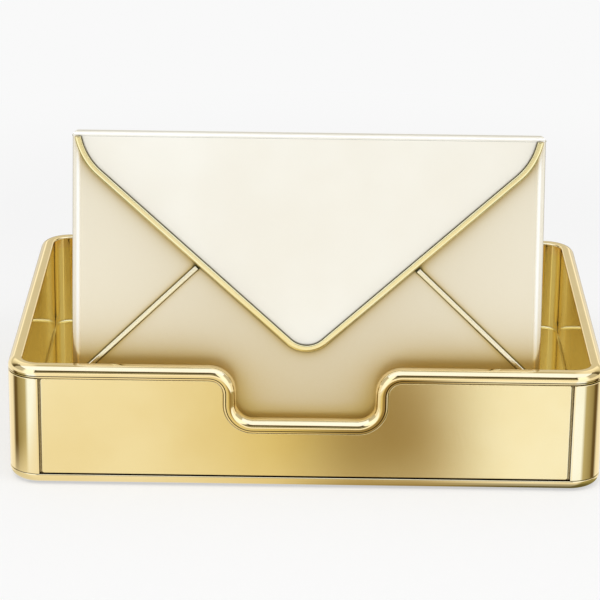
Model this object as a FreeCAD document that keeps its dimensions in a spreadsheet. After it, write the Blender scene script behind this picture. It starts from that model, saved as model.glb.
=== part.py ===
"""Open desk tray with a notched front wall, and an envelope that leans in it and lifts out.

The tray is centred on the origin, stands on Z = 0 and faces -Y. The envelope is drawn upright in
its own frame (X across, -Y towards its front, Z up its face) and then leans back as a whole.
"""
import FreeCAD, Part
import math
import os
import re
import Sketcher
from FreeCAD import Placement, Rotation, Vector

DIMENSIONS = {
    # tray, overall
    "tray_width": 290.0,
    "tray_depth": 204.0,
    "rim_top": 62.0,
    "foot_height": 1.0,
    "corner_radius": 15.7,
    "wall_thickness": 7.0,
    # rim moulding and its notch
    "rim_height": 6.0,
    "rim_outer_round": 4.0,
    "rim_inner_round": 1.2,
    "rim_lower_round": 0.8,
    "notch_half_width": 33.8,
    "notch_depth": 26.9,
    "notch_shoulder_round": 13.0,
    "notch_floor_round": 8.5,
    # plinth rail under the panels
    "rail_lip_height": 5.0,
    "rail_height": 10.8,
    "rail_width": 16.0,
    "rail_step_inset": 6.0,
    "rail_inner_round": 4.0,
    "rail_outer_round": 4.5,
    "rail_top_round": 0.6,
    # sheets
    "sheet": 1.2,
    "panel_recess": 0.4,
    "panel_reveal": 1.2,
    "panel_foot_reveal": 0.9,
    "post_tongue": 6.0,
    "pan_cove": 1.0,
    "cut_margin": 1.0,
    # base and fasteners
    "base_plate_low": 3.0,
    "base_plate_thickness": 2.0,
    "base_plate_gap": 0.2,
    "screw_radius": 1.5,
    "screw_hole_radius": 1.6,
    "screw_head_radius": 2.5,
    "screw_head_height": 1.6,
    "tie_head_recess": 3.4,
    "tie_circle": 11.7,
    "tie_grip": 4.0,
    "standoff_radius": 4.0,
    "standoff_x": 100.0,
    "standoff_y": 55.0,
    "nut_circumradius": 3.175,
    "nut_height": 2.4,
    "foot_radius": 4.0,
    "foot_recess": 1.0,
    "foot_x": 118.0,
    "foot_inset": 11.5,
    # guides that hold the foot of the envelope
    "guide_half_length": 100.0,
    "guide_gap": 0.3,
    "guide_sheet": 1.5,
    "front_guide_low": 15.0,
    "front_guide_top": 26.0,
    "rear_guide_top": 28.0,
    "rear_guide_back": 70.0,
    "guide_screw_y": 76.5,
    "guide_screw_x": 80.0,
    # envelope
    "lean": 12.0,
    "envelope_setback": 83.235,
    "envelope_base": 13.3,
    "envelope_width": 229.0,
    "envelope_height": 156.25,
    "edge_bar": 4.0,
    "edge_round": 3.9,
    "pocket_front": 8.0,
    "ply": 1.0,
    "core": 3.0,
    "fold_clearance": 1.4,
    "back_plate_drop": 5.0,
    "side_flap_top_drop": 6.0,
    "side_flap_tip_x": 14.0,
    "side_flap_tip_drop": 75.93,
    "side_flap_tip_round": 6.0,
    "seam_slope": 0.941,
    "seam_side_drop": 118.93,
    "seam_end_x": 109.0,
    "seam_start_x": 53.7,
    "seam_trim_radius": 1.2,
    "seam_relief": 1.68,
    "bottom_flap_tip_drop": 47.93,
    "bottom_flap_tip_round": 12.0,
    # flap of the envelope
    "flap_back": 9.3,
    "flap_half_width": 114.2,
    "fold_round": 2.0,
    "fold_rear": 0.2,
    "flap_band": 2.2,
    "flap_upper_x": 110.08,
    "flap_shoulder_x": 107.94,
    "flap_shoulder_drop": 12.28,
    "flap_shoulder_round": 30.0,
    "flap_tip_drop": 106.76,
    "flap_tip_round": 11.7,
    "trim_radius": 1.65,
    "trim_centre": 11.0,
    "trim_start_x": 111.57,
    "trim_start_drop": 2.4,
    "trim_shoulder_x": 109.3,
    "trim_shoulder_drop": 13.08,
    "trim_shoulder_round": 31.5,
    "trim_tip_drop": 108.75,
    "trim_tip_round": 13.2,
    # hinge of the flap
    "hinge_depth": 1.0,
    "hinge_drop": 2.9,
    "knuckle_radius": 1.6,
    "knuckle_gap": 0.3,
    "pin_radius": 0.8,
    "pin_clearance": 0.05,
    "leaf": 0.8,
    "leaf_half_length": 90.0,
    "back_leaf_bottom_drop": 15.0,
    "flap_leaf_front": 6.0,
    "flap_leaf_rear": 1.2,
}

KNUCKLE_COUNT = 5
TOUCHING = 0.01
ALIAS = re.compile(r"\b[a-z]+(?:_[a-z]+)*\b")
DOC = FreeCAD.newDocument("mail_tray")
SHEET = DOC.addObject("Spreadsheet::Sheet", "dims")
PARTS = []


def fill_sheet():
    """Put every driving dimension in the sheet under its alias."""
    for row, (alias, number) in enumerate(DIMENSIONS.items(), start=1):
        SHEET.set(f"A{row}", alias)
        SHEET.set(f"B{row}", str(number))
        SHEET.setAlias(f"B{row}", alias)
    DOC.recompute()


def bound(text):
    """Turn the dimension names in a formula into references to the sheet."""
    return ALIAS.sub(lambda m: f"dims.{m[0]}" if m[0] in DIMENSIONS else m[0], str(text))


def value(text):
    """Evaluate a formula of dimension names."""
    return float(SHEET.evalExpression(bound(text)))


def bind(item, **formulas):
    """Bind properties of an object, with __ for a dot in a property's path."""
    for name, text in formulas.items():
        item.setExpression(name.replace("__", "."), bound(text))


def keep(item, label, envelope=False):
    """Register an object as a finished piece, leaning back if it belongs to the envelope."""
    item.Label = label
    if envelope:
        lean_back(item)
    PARTS.append(item)
    return item


def lean_back(item):
    """Stand a piece of the envelope in the tray: tip it back, then set it on the floor."""
    item.Placement = Placement(Vector(), Rotation(Vector(-1, 0, 0), value("lean")))
    bind(item, Placement__Base__y="-envelope_setback", Placement__Base__z="envelope_base")
    bind(item, Placement__Rotation__Angle="lean * 1 deg")


# Sketch and feature helpers

def add_sketch(body, name, role, offset):
    """Attach an empty sketch to one of the body's origin planes, moved along its normal."""
    sketch = body.newObject("Sketcher::SketchObject", name)
    plane = next(item for item in body.Origin.OriginFeatures if item.Role == role)
    sketch.AttachmentSupport = [(plane, "")]
    sketch.MapMode = "FlatFace"
    bind(sketch, AttachmentOffset__Base__z=offset)
    return sketch


def pin_point(sketch, item, end, point):
    """Hold one end of a sketch element at a bound place."""
    for kind, text in zip(("DistanceX", "DistanceY"), point):
        index = sketch.addConstraint(Sketcher.Constraint(kind, -1, 1, item, end, value(text)))
        sketch.setExpression(f"Constraints[{index}]", bound(text))


def polygon(body, name, role, points, offset="0"):
    """Draw a closed outline with straight sides through bound corners."""
    sketch = add_sketch(body, name, role, offset)
    corners = [Vector(value(first), value(second), 0) for first, second in points]
    count = len(corners)
    for index, corner in enumerate(corners):
        sketch.addGeometry(Part.LineSegment(corner, corners[(index + 1) % count]), False)
    for index, point in enumerate(points):
        following = (index + 1) % count
        sketch.addConstraint(Sketcher.Constraint("Coincident", index, 2, following, 1))
        pin_point(sketch, index, 1, point)
    return sketch


def circles(body, name, role, centres, radius, offset="0"):
    """Draw equal circles at bound centres."""
    sketch = add_sketch(body, name, role, offset)
    for index, centre in enumerate(centres):
        place = Vector(value(centre[0]), value(centre[1]), 0)
        sketch.addGeometry(Part.Circle(place, Vector(0, 0, 1), value(radius)), False)
        pin_point(sketch, index, 3, centre)
        rule = sketch.addConstraint(Sketcher.Constraint("Radius", index, value(radius)))
        sketch.setExpression(f"Constraints[{rule}]", bound(radius))
    return sketch


def rounded_path(body, name, role, points, radii, offset):
    """Draw an open path whose inner corners are rounded by tangent arcs."""
    sketch = add_sketch(body, name, role, offset)
    corners = [Vector(value(first), value(second), 0) for first, second in points]
    starts = [corners[0]]
    arcs = []
    for index, radius in enumerate(radii, start=1):
        arriving = (corners[index] - corners[index - 1]).normalize()
        leaving = (corners[index + 1] - corners[index]).normalize()
        half_turn = arriving.getAngle(leaving) / 2
        reach = value(radius) * math.tan(half_turn)
        rise = value(radius) * (1 / math.cos(half_turn) - 1)
        middle = corners[index] + (leaving - arriving).normalize() * rise
        arcs.append((corners[index] - arriving * reach, middle, corners[index] + leaving * reach))
    ends = [arc[0] for arc in arcs] + [corners[-1]]
    starts += [arc[2] for arc in arcs]
    for start, end in zip(starts, ends):
        sketch.addGeometry(Part.LineSegment(start, end), False)
    for first, middle, last in arcs:
        sketch.addGeometry(Part.Arc(first, middle, last), False)
    bind_rounded_path(sketch, points, radii, len(starts))
    return sketch


def bind_rounded_path(sketch, points, radii, line_count):
    """Constrain a rounded path: bound ends, virtual corners and radii, tangent joints."""
    pin_point(sketch, 0, 1, points[0])
    pin_point(sketch, line_count - 1, 2, points[-1])
    for index, radius in enumerate(radii):
        arc = line_count + index
        arriving_end = sketch.getPoint(index, 2)
        start_is_first = (sketch.getPoint(arc, 1) - arriving_end).Length < 1e-6
        near, far = (1, 2) if start_is_first else (2, 1)
        sketch.addConstraint(Sketcher.Constraint("Tangent", index, 2, arc, near))
        sketch.addConstraint(Sketcher.Constraint("Tangent", arc, far, index + 1, 1))
        rule = sketch.addConstraint(Sketcher.Constraint("Radius", arc, value(radius)))
        sketch.setExpression(f"Constraints[{rule}]", bound(radius))
        corner = sketch.addGeometry(
            Part.Point(Vector(value(points[index + 1][0]), value(points[index + 1][1]), 0)), True)
        pin_point(sketch, corner, 1, points[index + 1])
        sketch.addConstraint(Sketcher.Constraint("PointOnObject", corner, 1, index))
        sketch.addConstraint(Sketcher.Constraint("PointOnObject", corner, 1, index + 1))


def add_body(label, envelope=False):
    """Start a new body that is one finished piece."""
    body = DOC.addObject("PartDesign::Body", label)
    return keep(body, label, envelope)


def pad(body, sketch, length):
    """Raise a sketch along its normal."""
    feature = body.newObject("PartDesign::Pad", f"{body.Name}_pad")
    feature.Profile = sketch
    bind(feature, Length=length)
    sketch.Visibility = False
    DOC.recompute()
    return feature


def pocket(body, sketch, length):
    """Cut a sketch along its normal, and make sure that it removes material."""
    before = body.Shape.Volume
    feature = body.newObject("PartDesign::Pocket", f"{body.Name}_pocket")
    feature.Profile = sketch
    feature.Reversed = True
    bind(feature, Length=length)
    DOC.recompute()
    if not body.Shape.Volume < before:
        raise RuntimeError(f"{feature.Name} removes nothing")
    return feature


def fillet(body, radius, wanted):
    """Round the edges of the body's last feature that a test accepts."""
    base = body.Tip
    names = [f"Edge{number}" for number, edge in enumerate(base.Shape.Edges, start=1) if wanted(edge)]
    if not names:
        raise RuntimeError(f"no edge to round on {body.Name}")
    feature = body.newObject("PartDesign::Fillet", f"{body.Name}_fillet")
    feature.Base = (base, names)
    bind(feature, Radius=radius)
    DOC.recompute()
    return feature


def straight_along(axis, *places):
    """Accept straight edges that run along one axis through a place given on the other two."""
    others = [index for index in range(3) if index != axis]

    def test(edge):
        ends = [vertex.Point for vertex in edge.Vertexes]
        if len(ends) != 2 or abs((ends[0] - ends[1])[axis]) < 0.5 * edge.Length:
            return False
        return any(
            all(abs(end[index] - aim) < TOUCHING for end in ends for index, aim in zip(others, place))
            for place in places)
    return test


def edge_through(point):
    """Accept edges that pass through a point."""
    vertex = Part.Vertex(point)
    return lambda edge: edge.distToShape(vertex)[0] < TOUCHING


def corners_of(half_x, half_y):
    """Give the four corners of a centred rectangle, as bound formulas."""
    return [(f"{a}({half_x})", f"{b}({half_y})") for a, b in (("-", "-"), ("", "-"), ("", ""), ("-", ""))]


def upright_places(half_x, half_y):
    """Give the same corners as numbers."""
    return [(value(first), value(second)) for first, second in corners_of(half_x, half_y)]


def plate(body, inset, low, height):
    """Pad a rectangle, inset from the tray's outline."""
    half_x, half_y = f"tray_width/2 - ({inset})", f"tray_depth/2 - ({inset})"
    pad(body, polygon(body, f"{body.Name}_plan", "XY_Plane", corners_of(half_x, half_y), low), height)


def round_corners(body, inset, radius):
    """Round the four upright edges of a rectangle that is inset from the tray's outline."""
    half_x, half_y = f"tray_width/2 - ({inset})", f"tray_depth/2 - ({inset})"
    fillet(body, radius, straight_along(2, *upright_places(half_x, half_y)))


def rounded_plate(body, inset, radius, low, height):
    """Pad a rounded rectangle, inset from the tray's outline."""
    plate(body, inset, low, height)
    round_corners(body, inset, radius)


def hollow_plate(body, inset, radius, low, height):
    """Cut a rounded rectangle, inset from the tray's outline."""
    half_x, half_y = f"tray_width/2 - ({inset})", f"tray_depth/2 - ({inset})"
    outline = polygon(body, f"{body.Name}_hollow", "XY_Plane", corners_of(half_x, half_y), low)
    pocket(body, outline, height)
    round_corners(body, inset, radius)


def box(name, low, size):
    """Make a box with bound sizes and place."""
    item = DOC.addObject("Part::Box", name)
    bind(item, Length=size[0], Width=size[1], Height=size[2])
    bind(item, Placement__Base__x=low[0], Placement__Base__y=low[1], Placement__Base__z=low[2])
    return item


def cylinder(name, radius, height, base, axis=Vector(0, 0, 1)):
    """Make a cylinder with bound sizes and place."""
    item = DOC.addObject("Part::Cylinder", name)
    item.Placement = Placement(Vector(), Rotation(Vector(0, 0, 1), axis))
    bind(item, Radius=radius, Height=height)
    bind(item, Placement__Base__x=base[0], Placement__Base__y=base[1], Placement__Base__z=base[2])
    return item


def cut(name, base, tool):
    """Subtract one object from another."""
    item = DOC.addObject("Part::Cut", name)
    item.Base = base
    item.Tool = tool
    return item


def fuse(name, items):
    """Join objects into one solid."""
    item = DOC.addObject("Part::MultiFuse", name)
    item.Shapes = items
    item.Refine = True
    return item


def group(label, items):
    """Keep several equal solids as one piece."""
    item = DOC.addObject("Part::Compound", label)
    item.Links = items
    return keep(item, label)


# Places and outlines that several pieces share

NOTCH_BAND = "notch_half_width + rim_height"
NOTCH_FLOOR = "rim_top - notch_depth"
BAND_FLOOR = "rim_top - notch_depth - rim_height"
BAND_TOP = "rim_top - rim_height"
RAIL_LIP_TOP = "foot_height + rail_lip_height"
PANEL_LOW = "foot_height + rail_lip_height + panel_foot_reveal"
RAIL_TOP = "foot_height + rail_height"
PAN_FLOOR = "foot_height + rail_height + sheet"
BAND_SHOULDER_ROUND = "notch_shoulder_round - rim_height"
BAND_FLOOR_ROUND = "notch_floor_round + rim_height"
TIE_X = "tray_width/2 - corner_radius + tie_circle * cos(45 deg)"
TIE_Y = "tray_depth/2 - corner_radius + tie_circle * cos(45 deg)"
FOOT_Y = "tray_depth/2 - foot_inset"
TIE_PLACES = corners_of(TIE_X, TIE_Y)
FOOT_PLACES = corners_of("foot_x", FOOT_Y)
STANDOFF_PLACES = corners_of("standoff_x", "standoff_y")
GUIDE_SCREW_PLACES = [(x, "-guide_screw_y") for x in ("-guide_screw_x", "0", "guide_screw_x")]


def notch_edges(half_width, level):
    """Accept the two edges that run through the front wall at one corner pair of the notch."""
    return straight_along(1, (value(f"-({half_width})"), value(level)), (value(half_width), value(level)))


def round_band(body):
    """Round the four corners of the notch where the wall meets the rim from below."""
    fillet(body, BAND_SHOULDER_ROUND, notch_edges(NOTCH_BAND, BAND_TOP))
    fillet(body, BAND_FLOOR_ROUND, notch_edges(NOTCH_BAND, BAND_FLOOR))


# Tray

def build_plinth_rail():
    """Rail round the foot of the tray: a rounded lip outside, a step for the pan inside."""
    body = add_body("plinth_rail")
    rounded_plate(body, "0", "corner_radius", "foot_height", "rail_lip_height")
    rounded_plate(body, "rail_step_inset", "corner_radius - rail_step_inset", RAIL_LIP_TOP,
                  "rail_height - rail_lip_height")
    hollow_plate(body, "rail_width", "rail_inner_round", "foot_height", "rail_height")
    front = value("-tray_depth/2")
    fillet(body, "rail_outer_round", edge_through(Vector(0, front, value("foot_height"))))
    fillet(body, "rail_top_round", edge_through(Vector(0, front, value(RAIL_LIP_TOP))))
    pocket(body, circles(body, "foot_seats", "XY_Plane", FOOT_PLACES, "foot_radius", "foot_height"),
           "foot_recess")
    pocket(body, circles(body, "tie_holes", "XY_Plane", TIE_PLACES, "screw_hole_radius", "foot_height"),
           "rail_height")
    pocket(body, circles(body, "tie_seats", "XY_Plane", TIE_PLACES, "screw_head_radius", "foot_height"),
           "tie_head_recess")


def build_base_plate():
    """Plate that closes the underside inside the rail."""
    body = add_body("base_plate")
    rounded_plate(body, "rail_width + base_plate_gap", "rail_inner_round - base_plate_gap",
                  "base_plate_low", "base_plate_thickness")
    pocket(body, circles(body, "base_holes", "XY_Plane", STANDOFF_PLACES, "screw_hole_radius",
                         "base_plate_low"), "base_plate_thickness")


def build_inner_pan():
    """Pan of one sheet: floor, walls with rounded corners, and the notch in the front wall."""
    body = add_body("inner_pan")
    outer, inner = "wall_thickness - sheet", "wall_thickness"
    plate(body, outer, RAIL_TOP, f"{BAND_TOP} - ({RAIL_TOP})")
    hollow_plate(body, inner, f"corner_radius - {inner}", PAN_FLOOR, "rim_top")
    round_corners(body, outer, f"corner_radius - ({outer})")
    fillet(body, "pan_cove + sheet",
           edge_through(Vector(0, value(f"-tray_depth/2 + ({outer})"), value(RAIL_TOP))))
    fillet(body, "pan_cove",
           edge_through(Vector(0, value(f"-tray_depth/2 + {inner}"), value(PAN_FLOOR))))
    opening = [(f"-({NOTCH_BAND})", BAND_FLOOR), (NOTCH_BAND, BAND_FLOOR),
               (NOTCH_BAND, "rim_top"), (f"-({NOTCH_BAND})", "rim_top")]
    front = f"tray_depth/2 - {inner} - cut_margin"
    pocket(body, polygon(body, "pan_notch", "XZ_Plane", opening, front), "wall_thickness + cut_margin")
    round_band(body)
    pocket(body, circles(body, "pan_holes", "XY_Plane", GUIDE_SCREW_PLACES, "screw_hole_radius",
                         RAIL_TOP), "sheet")


def build_front_panel():
    """Outer sheet of the front wall, cut out under the rim's dip."""
    body = add_body("front_panel")
    half = "tray_width/2 - corner_radius - panel_reveal"
    outline = [
        (f"-({half})", PANEL_LOW), (half, PANEL_LOW), (half, BAND_TOP),
        (NOTCH_BAND, BAND_TOP), (NOTCH_BAND, BAND_FLOOR),
        (f"-({NOTCH_BAND})", BAND_FLOOR), (f"-({NOTCH_BAND})", BAND_TOP), (f"-({half})", BAND_TOP)]
    inner_face = "tray_depth/2 - panel_recess - sheet"
    pad(body, polygon(body, "front_outline", "XZ_Plane", outline, inner_face), "sheet")
    round_band(body)


def build_plain_panels():
    """Outer sheets of the other three walls."""
    height = f"{BAND_TOP} - ({PANEL_LOW})"
    length_x = "tray_width - 2*(corner_radius + panel_reveal)"
    length_y = "tray_depth - 2*(corner_radius + panel_reveal)"
    inner_x, inner_y = (f"tray_{side}/2 - panel_recess - sheet" for side in ("width", "depth"))
    outer_x = "tray_width/2 - panel_recess"
    low_x, low_y = f"-({length_x})/2", f"-({length_y})/2"
    keep(box("rear_panel", (low_x, inner_y, PANEL_LOW), (length_x, "sheet", height)), "rear_panel")
    keep(box("left_panel", (f"-({outer_x})", low_y, PANEL_LOW), ("sheet", length_y, height)),
         "left_panel")
    keep(box("right_panel", (inner_x, low_y, PANEL_LOW), ("sheet", length_y, height)), "right_panel")


def build_corner_post(label, sign_x, sign_y, turn):
    """Quarter-round post with a tongue behind each panel, bored for its tie screw."""
    height = f"{BAND_TOP} - ({RAIL_LIP_TOP})"
    origin = ("0", "0", "0")
    outer = cylinder(f"{label}_outer", "corner_radius", height, origin)
    inner_radius = "corner_radius - wall_thickness + sheet"
    inner = cylinder(f"{label}_inner", inner_radius, height, origin)
    bore = cylinder(f"{label}_bore", "screw_hole_radius", height,
                    ("tie_circle * cos(45 deg)", "tie_circle * sin(45 deg)", "0"))
    outer.Angle = 90
    shell = cut(f"{label}_shell", outer, inner)
    depth = "wall_thickness - panel_recess - 2 * sheet"
    tongues = [
        box(f"{label}_tongue_x", (inner_radius, "-post_tongue", "0"), (depth, "post_tongue", height)),
        box(f"{label}_tongue_y", ("-post_tongue", inner_radius, "0"), ("post_tongue", depth, height))]
    post = keep(cut(label, fuse(f"{label}_blank", [shell] + tongues), bore), label)
    post.Placement = Placement(Vector(), Rotation(Vector(0, 0, 1), turn))
    bind(post, Placement__Base__x=f"{sign_x}(tray_width/2 - corner_radius)",
         Placement__Base__y=f"{sign_y}(tray_depth/2 - corner_radius)", Placement__Base__z=RAIL_LIP_TOP)


def build_rim_cap():
    """One closed moulding over the double wall, which dips through the notch."""
    body = add_body("rim_cap")
    depth_of_band = "notch_depth + rim_height"
    rounded_plate(body, "0", "corner_radius", BAND_FLOOR, depth_of_band)
    hollow_plate(body, "wall_thickness", "corner_radius - wall_thickness", BAND_FLOOR, depth_of_band)
    far_x, low = "tray_width/2 + cut_margin", f"{BAND_FLOOR} - cut_margin"
    wall_face = "-tray_depth/2 + wall_thickness"
    behind = [(f"-({far_x})", wall_face), (far_x, wall_face),
              (far_x, "tray_depth/2 + cut_margin"), (f"-({far_x})", "tray_depth/2 + cut_margin")]
    pocket(body, polygon(body, "rim_behind", "XY_Plane", behind, low), "notch_depth + cut_margin")
    below = [
        (f"-({far_x})", low), (far_x, low), (far_x, BAND_TOP), (NOTCH_BAND, BAND_TOP),
        (NOTCH_BAND, BAND_FLOOR), (f"-({NOTCH_BAND})", BAND_FLOOR),
        (f"-({NOTCH_BAND})", BAND_TOP), (f"-({far_x})", BAND_TOP)]
    front = "tray_depth/2 - corner_radius - cut_margin"
    through = "corner_radius + 2 * cut_margin"
    pocket(body, polygon(body, "rim_below", "XZ_Plane", below, front), through)
    opening = [("-notch_half_width", NOTCH_FLOOR), ("notch_half_width", NOTCH_FLOOR),
               ("notch_half_width", "rim_top + cut_margin"), ("-notch_half_width", "rim_top + cut_margin")]
    pocket(body, polygon(body, "rim_notch", "XZ_Plane", opening, front), through)
    round_band(body)
    fillet(body, "notch_shoulder_round", notch_edges("notch_half_width", "rim_top"))
    fillet(body, "notch_floor_round", notch_edges("notch_half_width", NOTCH_FLOOR))
    rear_y, top, under = value("tray_depth/2"), value("rim_top"), value(BAND_TOP)
    fillet(body, "rim_outer_round", edge_through(Vector(0, rear_y, top)))
    fillet(body, "rim_inner_round", edge_through(Vector(0, rear_y - value("wall_thickness"), top)))
    fillet(body, "rim_lower_round", edge_through(Vector(0, rear_y, under)))
    pocket(body, circles(body, "rim_holes", "XY_Plane", TIE_PLACES, "screw_radius", BAND_TOP), "tie_grip")


def build_feet():
    """Rubber feet, each set in its seat in the rail."""
    names = ("front_left_foot", "front_right_foot", "rear_right_foot", "rear_left_foot")
    for name, (x, y) in zip(names, FOOT_PLACES):
        keep(cylinder(name, "foot_radius", "foot_height + foot_recess", (x, y, "0")), name)


def build_screw(name, place, head_low, shank_low, shank_top):
    """Cylinder-head screw: the head sits above or below the shank's near end."""
    head = cylinder(f"{name}_head", "screw_head_radius", "screw_head_height", (*place, head_low))
    shank = cylinder(f"{name}_shank", "screw_radius", f"{shank_top} - ({shank_low})", (*place, shank_low))
    return fuse(name, [head, shank])


def build_fasteners():
    """Tie screws, base screws with their standoffs, and the rear guide's screws with their nuts."""
    tie_seat = "foot_height + tie_head_recess"
    group("tie_screws", [
        build_screw(f"tie_screw_{index}", place, f"{tie_seat} - screw_head_height", tie_seat,
                    f"{BAND_TOP} + tie_grip")
        for index, place in enumerate(TIE_PLACES)])
    base_top = "base_plate_low + base_plate_thickness"
    group("base_screws", [
        build_screw(f"base_screw_{index}", place, "base_plate_low - screw_head_height",
                    "base_plate_low", RAIL_TOP)
        for index, place in enumerate(STANDOFF_PLACES)])
    height = f"{RAIL_TOP} - ({base_top})"
    group("standoffs", [
        cut(f"standoff_{index}", cylinder(f"spacer_{index}", "standoff_radius", height, (*place, base_top)),
            cylinder(f"spacer_bore_{index}", "screw_radius", height, (*place, base_top)))
        for index, place in enumerate(STANDOFF_PLACES)])
    guide_seat = f"{PAN_FLOOR} + guide_sheet"
    group("guide_screws", [
        build_screw(f"guide_screw_{index}", place, guide_seat, f"{RAIL_TOP} - nut_height", guide_seat)
        for index, place in enumerate(GUIDE_SCREW_PLACES)])
    group("guide_nuts", [build_nut(f"guide_nut_{index}", place)
                         for index, place in enumerate(GUIDE_SCREW_PLACES)])


def build_nut(name, place):
    """Hexagon nut under the pan."""
    blank = DOC.addObject("Part::Prism", f"{name}_blank")
    blank.Polygon = 6
    bind(blank, Circumradius="nut_circumradius", Height="nut_height", Placement__Base__x=place[0],
         Placement__Base__y=place[1], Placement__Base__z=f"{RAIL_TOP} - nut_height")
    thread = cylinder(f"{name}_thread", "screw_radius", "nut_height", (*place, f"{RAIL_TOP} - nut_height"))
    return cut(name, blank, thread)


def leaning_face(depth, level):
    """Formula for the Y of a plane inside the leaning envelope, at one height."""
    return (f"-envelope_setback - ({depth}) / cos(lean * 1 deg)"
            f" + tan(lean * 1 deg) * ({level} - envelope_base)")


def build_guides():
    """Bar on the front wall and bent angle on the floor, with the envelope's foot between them."""
    front = add_body("front_guide")
    wall = "-tray_depth/2 + wall_thickness"
    face = "pocket_front + ply + guide_gap"
    outline = [(wall, "front_guide_low"), (leaning_face(face, "front_guide_low"), "front_guide_low"),
               (leaning_face(face, "front_guide_top"), "front_guide_top"), (wall, "front_guide_top")]
    pad(front, polygon(front, "front_guide_section", "YZ_Plane", outline, "-guide_half_length"),
        "2 * guide_half_length")
    rear = add_body("rear_guide")
    step = f"{PAN_FLOOR} + guide_sheet"
    leg = "guide_sheet / cos(lean * 1 deg)"
    outline = [
        (leaning_face("-guide_gap", PAN_FLOOR), PAN_FLOOR), ("-rear_guide_back", PAN_FLOOR),
        ("-rear_guide_back", step), (f"{leaning_face('-guide_gap', step)} + {leg}", step),
        (f"{leaning_face('-guide_gap', 'rear_guide_top')} + {leg}", "rear_guide_top"),
        (leaning_face("-guide_gap", "rear_guide_top"), "rear_guide_top")]
    pad(rear, polygon(rear, "rear_guide_section", "YZ_Plane", outline, "-guide_half_length"),
        "2 * guide_half_length")
    pocket(rear, circles(rear, "rear_guide_holes", "XY_Plane", GUIDE_SCREW_PLACES, "screw_hole_radius",
                         PAN_FLOOR), "guide_sheet")


# Envelope, drawn upright: X across, -Y towards its front, Z up from its foot

INNER_X = "envelope_width/2 - edge_bar"


def up(drop):
    """Formula for a height that is given as a drop below the envelope's top edge."""
    return f"envelope_height - ({drop})"


def ply_piece(label, outline, depth, thickness):
    """Flat piece parallel to the envelope's face, at a depth counted from its back."""
    body = add_body(label, envelope=True)
    pad(body, polygon(body, f"{label}_outline", "XZ_Plane", outline, depth), thickness)
    return body


def build_back():
    """Back plate, and the core board that stiffens it behind the letter pocket."""
    top = up("back_plate_drop")
    outline = [(f"-({INNER_X})", "edge_bar"), (INNER_X, "edge_bar"), (INNER_X, top), (f"-({INNER_X})", top)]
    ply_piece("back_plate", outline, "0", "ply")
    ply_piece("core_board", outline, "ply", "core")


def build_edge_bars():
    """Half-round bars along the two sides and the foot."""
    for label, sign in (("left_edge_bar", "-"), ("right_edge_bar", "")):
        body = add_body(label, envelope=True)
        outer = f"{sign}(envelope_width/2)"
        outline = [(f"{sign}({INNER_X})", "-pocket_front"), (outer, "-pocket_front"), (outer, "0"),
                   (f"{sign}({INNER_X})", "0")]
        pad(body, polygon(body, f"{label}_section", "XY_Plane", outline), up("fold_clearance"))
        places = [(value(outer), value("-pocket_front")), (value(outer), 0)]
        fillet(body, "edge_round", straight_along(2, *places))
    body = add_body("bottom_edge_bar", envelope=True)
    outline = [("-pocket_front", "0"), ("0", "0"), ("0", "edge_bar"), ("-pocket_front", "edge_bar")]
    pad(body, polygon(body, "bottom_edge_section", "YZ_Plane", outline, f"-({INNER_X})"), f"2*({INNER_X})")
    fillet(body, "edge_round", straight_along(0, (value("-pocket_front"), 0), (0, 0)))


def build_side_flaps():
    """Side flaps, whose points meet near the middle under the bottom flap."""
    for label, sign in (("left_side_flap", "-"), ("right_side_flap", "")):
        outer = f"{sign}({INNER_X})"
        tip = f"{sign}side_flap_tip_x"
        outline = [(outer, up("side_flap_top_drop")), (tip, up("side_flap_tip_drop")), (outer, "edge_bar")]
        body = ply_piece(label, outline, "pocket_front - ply", "ply")
        fillet(body, "side_flap_tip_round",
               straight_along(1, (value(tip), value(up("side_flap_tip_drop")))))


def seam_drop(x):
    """Formula for the drop of the seam line at a distance from the middle."""
    return f"seam_side_drop - seam_slope * (({INNER_X}) - ({x}))"


def build_bottom_flap():
    """Bottom flap over the side flaps, with a blunt rounded point."""
    tip = f"({INNER_X}) - (seam_side_drop - bottom_flap_tip_drop) / seam_slope"
    side_top = up("seam_side_drop + seam_relief")
    tip_top = up("bottom_flap_tip_drop + seam_relief")
    outline = [(f"-({INNER_X})", "edge_bar"), (INNER_X, "edge_bar"), (INNER_X, side_top),
               (tip, tip_top), (f"-({tip})", tip_top), (f"-({INNER_X})", side_top)]
    body = ply_piece("bottom_flap", outline, "pocket_front", "ply")
    places = [(value(f"{sign}({tip})"), value(tip_top)) for sign in ("-", "")]
    fillet(body, "bottom_flap_tip_round", straight_along(1, *places))


def build_seam_trims():
    """Round wires along the visible seams, from the flap's wire out to the sides."""
    start_drop, end_drop = seam_drop("seam_start_x"), seam_drop("seam_end_x")
    length = "(seam_end_x - seam_start_x) * sqrt(1 + seam_slope^2)"
    for label, sign in (("left_seam_trim", -1), ("right_seam_trim", 1)):
        start = Vector(sign * value("seam_start_x"), -value("pocket_front + seam_trim_radius"),
                       value(up(start_drop)))
        end = Vector(sign * value("seam_end_x"), start.y, value(up(end_drop)))
        item = DOC.addObject("Part::Cylinder", label)
        bind(item, Radius="seam_trim_radius", Height=length)
        keep(item, label)
        local = Placement(start, Rotation(Vector(0, 0, 1), end - start))
        item.Placement = leaning_placement().multiply(local)


def leaning_placement():
    """Placement of the whole envelope, from the sheet."""
    return Placement(Vector(0, -value("envelope_setback"), value("envelope_base")),
                     Rotation(Vector(-1, 0, 0), value("lean")))


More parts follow.
